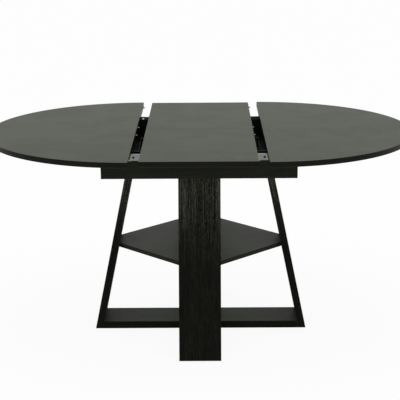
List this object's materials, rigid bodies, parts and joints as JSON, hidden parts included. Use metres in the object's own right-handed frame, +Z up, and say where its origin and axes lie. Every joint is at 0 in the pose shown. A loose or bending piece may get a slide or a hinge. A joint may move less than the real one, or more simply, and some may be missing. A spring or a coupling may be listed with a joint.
{
  "type": "round extendable dining table",
  "caption": "Round dining table drawn open: half tops on steel runners, folding leaf between them, crossed slanted plank base with a shelf.",
  "frame": {"origin": "floor, under the centre of the table", "axes": "+X along the pull-out direction to the right half top, +Y to the rear, +Z up"},
  "size_m": [1.5698, 1.1, 0.765],
  "materials": {
    "top_veneer": "satin black-stained oak veneer",
    "stained_oak": "black-stained open-pore oak",
    "black_board": "matte black",
    "beech": "bare",
    "zinc_steel": "zinc-plated sheet",
    "black_steel": "black coated, matte",
    "screw_steel": "zinc-plated",
    "brass": "brushed",
    "nylon": "matte",
    "felt": "felt"
  },
  "bodies": {
    "base": {"front_rail": "stained_oak", "rear_rail": "stained_oak", "left_rail": "stained_oak", "right_rail": "stained_oak", "box_panel": "black_board", "corner_blocks": "black_board", "front_batten": "black_board", "rear_batten": "black_board", "bearer_x": "stained_oak", "bearer_y": "stained_oak", "front_leg": "stained_oak", "rear_leg": "stained_oak", "left_leg": "stained_oak", "right_leg": "stained_oak", "foot_plank_x": "stained_oak", "foot_plank_y": "stained_oak", "shelf": "stained_oak", "leg_dowels": "beech", "shelf_dowels": "beech", "floor_glides": "felt", "panel_screws": "screw_steel", "front_channel": "zinc_steel", "rear_channel": "zinc_steel", "channel_screws": "black_steel", "runner_stops": "nylon", "pinion_pins": "screw_steel", "leaf_pads": "felt", "compartment_liners": "black_board", "left_stand": "black_steel", "right_stand": "black_steel", "stand_pivots": "black_steel", "stand_screws": "black_steel"},
    "left_half": {"left_top": "top_veneer", "left_top_pins": "brass", "left_bar_front": "black_steel", "left_bar_rear": "black_steel", "left_bar_screws": "screw_steel"},
    "right_half": {"right_top": "top_veneer", "right_top_sockets": "brass", "right_bar_front": "black_steel", "right_bar_rear": "black_steel", "right_bar_screws": "screw_steel"},
    "front_arms": {"front_arm_left": "black_steel", "front_arm_right": "black_steel"},
    "rear_arms": {"rear_arm_left": "black_steel", "rear_arm_right": "black_steel"},
    "front_leaf_half": {"leaf_front": "top_veneer", "leaf_front_pins": "brass", "leaf_front_sockets": "brass", "leaf_bracket_left": "black_steel", "leaf_bracket_right": "black_steel", "leaf_pivots": "black_steel", "leaf_bracket_screws": "black_steel", "leaf_front_hinges": "brass"},
    "rear_leaf_half": {"leaf_rear": "top_veneer", "leaf_rear_pins": "brass", "leaf_rear_sockets": "brass", "leaf_rear_hinges": "brass"},
    "front_gear": {"front_pinion": "nylon"},
    "rear_gear": {"rear_pinion": "nylon"}
  },
  "joints": [
    {"name": "left_half_slide", "type": "slide", "parent": "base", "child": "left_half", "axis": [1, 0, 0], "range_m": [0, 0.0357]},
    {"name": "right_half_slide", "type": "slide", "parent": "base", "child": "right_half", "axis": [-1, 0, 0], "range_m": [0, 0.0357]},
    {"name": "front_gear_spin", "type": "hinge", "parent": "base", "child": "front_gear", "pos_m": [0, -0.312, 0.731], "axis": [0, 0, 1], "range_deg": [0, 228]},
    {"name": "rear_gear_spin", "type": "hinge", "parent": "base", "child": "rear_gear", "pos_m": [0, 0.312, 0.731], "axis": [0, 0, 1], "range_deg": [0, 228]},
    {"name": "leaf_swing", "type": "hinge", "parent": "base", "child": "front_arms", "pos_m": [0, -0.115, 0.713], "axis": [-1, 0, 0], "range_deg": [0, 180]},
    {"name": "rear_arm_swing", "type": "hinge", "parent": "base", "child": "rear_arms", "pos_m": [0, 0.065, 0.713], "axis": [-1, 0, 0], "range_deg": [0, 180]},
    {"name": "leaf_level", "type": "hinge", "parent": "front_arms", "child": "front_leaf_half", "pos_m": [0, -0.25, 0.74], "axis": [1, 0, 0], "range_deg": [0, 180]},
    {"name": "leaf_fold", "type": "hinge", "parent": "front_leaf_half", "child": "rear_leaf_half", "pos_m": [0, 0, 0.7655], "axis": [1, 0, 0], "range_deg": [0, 180]}
  ],
  "couplings": [
    {"joint": "right_half_slide", "follows": "left_half_slide", "ratio": 1},
    {"joint": "front_gear_spin", "follows": "left_half_slide", "rad_per_m": 111.11},
    {"joint": "rear_gear_spin", "follows": "left_half_slide", "rad_per_m": 111.11},
    {"joint": "rear_arm_swing", "follows": "leaf_swing", "ratio": 1},
    {"joint": "leaf_level", "follows": "leaf_swing", "ratio": 1},
    {"joint": "leaf_fold", "follows": "leaf_swing", "ratio": 1}
  ]
}
